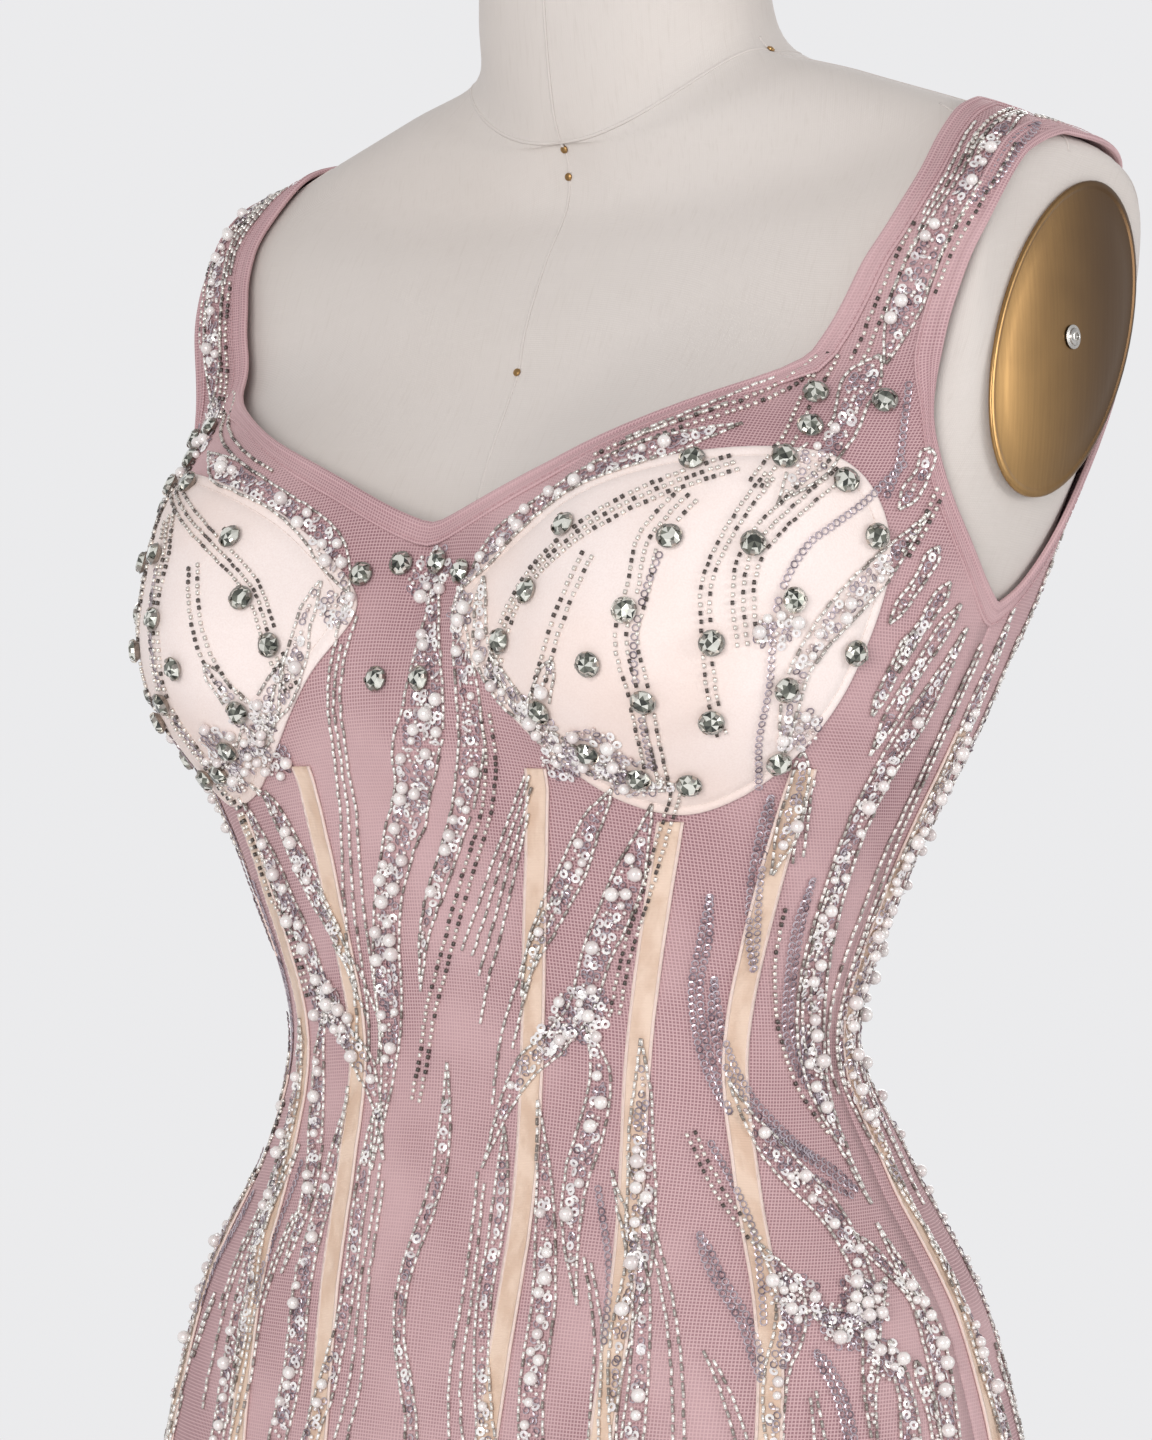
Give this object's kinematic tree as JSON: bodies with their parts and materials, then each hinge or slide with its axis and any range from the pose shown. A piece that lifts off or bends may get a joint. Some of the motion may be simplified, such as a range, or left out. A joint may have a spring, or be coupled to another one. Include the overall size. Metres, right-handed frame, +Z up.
{
  "type": "bodycon mini dress on a dress form",
  "caption": "Sleeveless beaded mesh bodycon mini dress with padded cups and boning channels, fitted on a limbless dress form on a pole and round base.",
  "frame": {"origin": "middle of the stand's underside, on the floor", "axes": "+X to the wearer's left, -Y the dress's front, +Z up"},
  "size_m": [0.4, 0.4, 1.35],
  "materials": {
    "mesh": "dusty pink stretch mesh, beaded all over, soft sheen",
    "binding": "folded dusty pink mesh with a row of machine stitching",
    "cup_cloth": "pale peach padded crepe, matt, stitched round its edge",
    "satin_tape": "tan satin boning tape with pale woven edges",
    "zip_tape": "woven zip tape in the mesh's colour, matt",
    "zip_metal": "satin cast zip metal",
    "linen": "plain woven beige linen, stretched smooth",
    "brass": "spun brass, brushed, slightly tarnished",
    "steel": "nickel-plated screw head",
    "dark_iron": "dark satin powder coat",
    "crystal": "cut grey-green glass, foiled behind",
    "claw": "bright pressed metal claw settings",
    "pearl": "ivory pearl lacquer",
    "bugle": "silver-lined glass tube beads",
    "sequin": "pale purple-grey and clear iridescent film"
  },
  "bodies": {
    "dress_and_form": {"front_panel": "mesh", "back_panel_left": "mesh", "back_panel_right": "mesh", "cup_left": "cup_cloth", "cup_right": "cup_cloth", "channel_inner_left": "satin_tape", "channel_middle_left": "satin_tape", "channel_outer_left": "satin_tape", "channel_side_left": "satin_tape", "channel_inner_right": "satin_tape", "channel_middle_right": "satin_tape", "channel_outer_right": "satin_tape", "channel_side_right": "satin_tape", "neck_binding": "binding", "armhole_binding_left": "binding", "armhole_binding_right": "binding", "zip_tape": "zip_tape", "zip_slider": "zip_metal", "form_body": "linen", "arm_plate_left": "brass", "arm_plate_right": "brass", "plate_screw_left": "steel", "plate_screw_right": "steel", "stand_pole": "dark_iron", "stand_base": "dark_iron"},
    "zip_pull": {"zip_pull": "zip_metal"}
  },
  "joints": [
    {"name": "pull_swing", "type": "hinge", "parent": "dress_and_form", "child": "zip_pull", "pos_m": [0, 0.12857, 1.07988], "axis": [1, 0, 0], "range_deg": [0, 120]}
  ]
}
